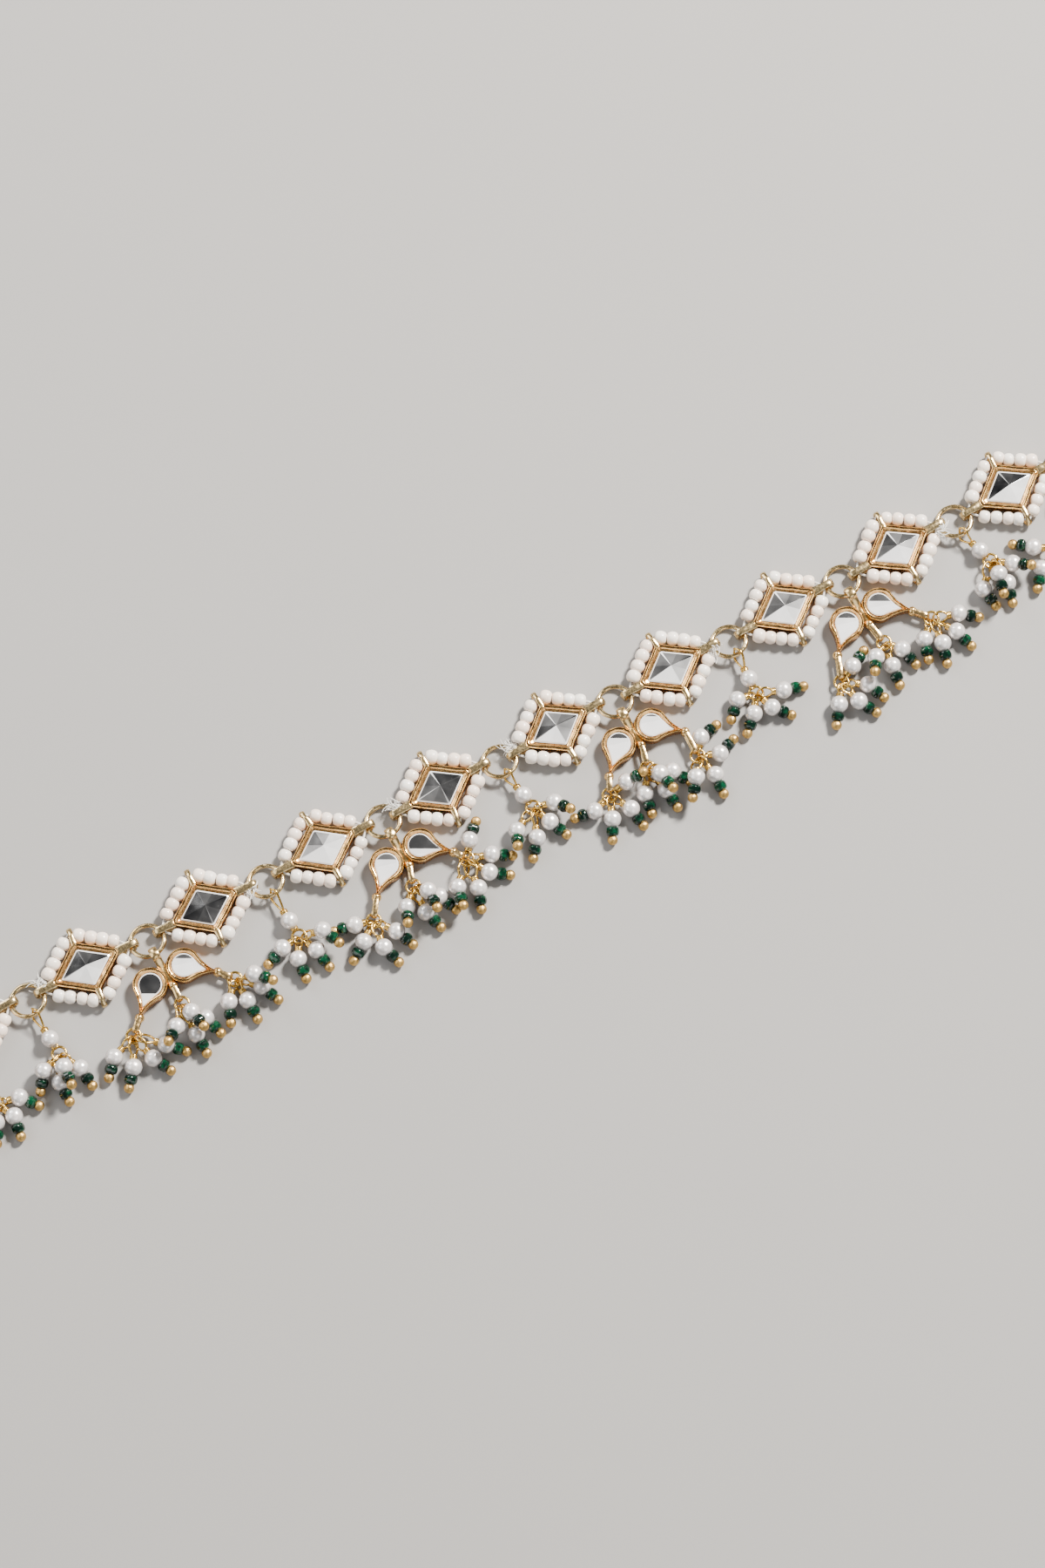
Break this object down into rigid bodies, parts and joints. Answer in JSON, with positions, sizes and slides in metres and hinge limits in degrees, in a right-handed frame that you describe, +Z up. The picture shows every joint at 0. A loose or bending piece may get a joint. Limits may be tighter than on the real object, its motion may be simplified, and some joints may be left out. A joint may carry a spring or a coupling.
{
  "type": "beaded anklet",
  "caption": "Anklet laid out straight: rhombic cut-stone settings in bead borders on jump rings, with twin-leaf settings, pearl pendants and tassels of pearl drops.",
  "frame": {"origin": "middle of the flat back of the fifth setting from the hook's end, on the plane that the anklet rests on", "axes": "+X along the laid-out anklet from the hook to the plain chain, -Y towards the hanging tassels, +Z up, out of the stones' faces"},
  "size_m": [0.2462, 0.0294, 0.0051],
  "materials": {
    "antique_gold": "antiqued rose-gold plating, worn bright on the rims",
    "pale_gold": "pale champagne-gold plating, slightly hammered",
    "wire_gold": "bright yellow-gold wire and satin balls",
    "ivory_bead": "opaque ivory glass beads, slightly glossy",
    "pearl": "pearl lustre",
    "green_glass": "deep green translucent glass",
    "mirror_stone": "cut glass with a silvered back",
    "thread": "frayed white thread"
  },
  "bodies": {
    "root": {"setting_01": "antique_gold", "setting_02": "antique_gold", "setting_03": "antique_gold", "setting_04": "antique_gold", "setting_05": "antique_gold", "setting_06": "antique_gold", "setting_07": "antique_gold", "setting_08": "antique_gold", "setting_09": "antique_gold", "setting_10": "antique_gold", "bead_border_01": "ivory_bead", "bead_border_02": "ivory_bead", "bead_border_03": "ivory_bead", "bead_border_04": "ivory_bead", "bead_border_05": "ivory_bead", "bead_border_06": "ivory_bead", "bead_border_07": "ivory_bead", "bead_border_08": "ivory_bead", "bead_border_09": "ivory_bead", "bead_border_10": "ivory_bead", "jump_ring_01": "pale_gold", "jump_ring_02": "pale_gold", "jump_ring_03": "pale_gold", "jump_ring_04": "pale_gold", "jump_ring_05": "pale_gold", "jump_ring_06": "pale_gold", "jump_ring_07": "pale_gold", "jump_ring_08": "pale_gold", "jump_ring_09": "pale_gold", "hook_clasp": "pale_gold", "extension_chain": "pale_gold", "leaf_setting_1": "antique_gold", "leaf_setting_2": "antique_gold", "leaf_setting_3": "antique_gold", "leaf_setting_4": "antique_gold", "leaf_setting_5": "antique_gold", "leaf_setting_6": "antique_gold", "leaf_tassel_1_left": "pearl", "leaf_tassel_1_middle": "pearl", "leaf_tassel_1_right": "pearl", "leaf_tassel_2_left": "pearl", "leaf_tassel_2_middle": "pearl", "leaf_tassel_2_right": "pearl", "leaf_tassel_3_left": "pearl", "leaf_tassel_3_middle": "pearl", "leaf_tassel_3_right": "pearl", "leaf_tassel_4_left": "pearl", "leaf_tassel_4_middle": "pearl", "leaf_tassel_4_right": "pearl", "leaf_tassel_5_left": "pearl", "leaf_tassel_5_middle": "pearl", "leaf_tassel_5_right": "pearl", "leaf_tassel_6_left": "pearl", "leaf_tassel_6_middle": "pearl", "leaf_tassel_6_right": "pearl", "pearl_pendant_1": "pearl", "pearl_pendant_2": "pearl", "pearl_pendant_3": "pearl", "pearl_pendant_4": "pearl", "pearl_pendant_5": "pearl"}
  },
  "joints": []
}
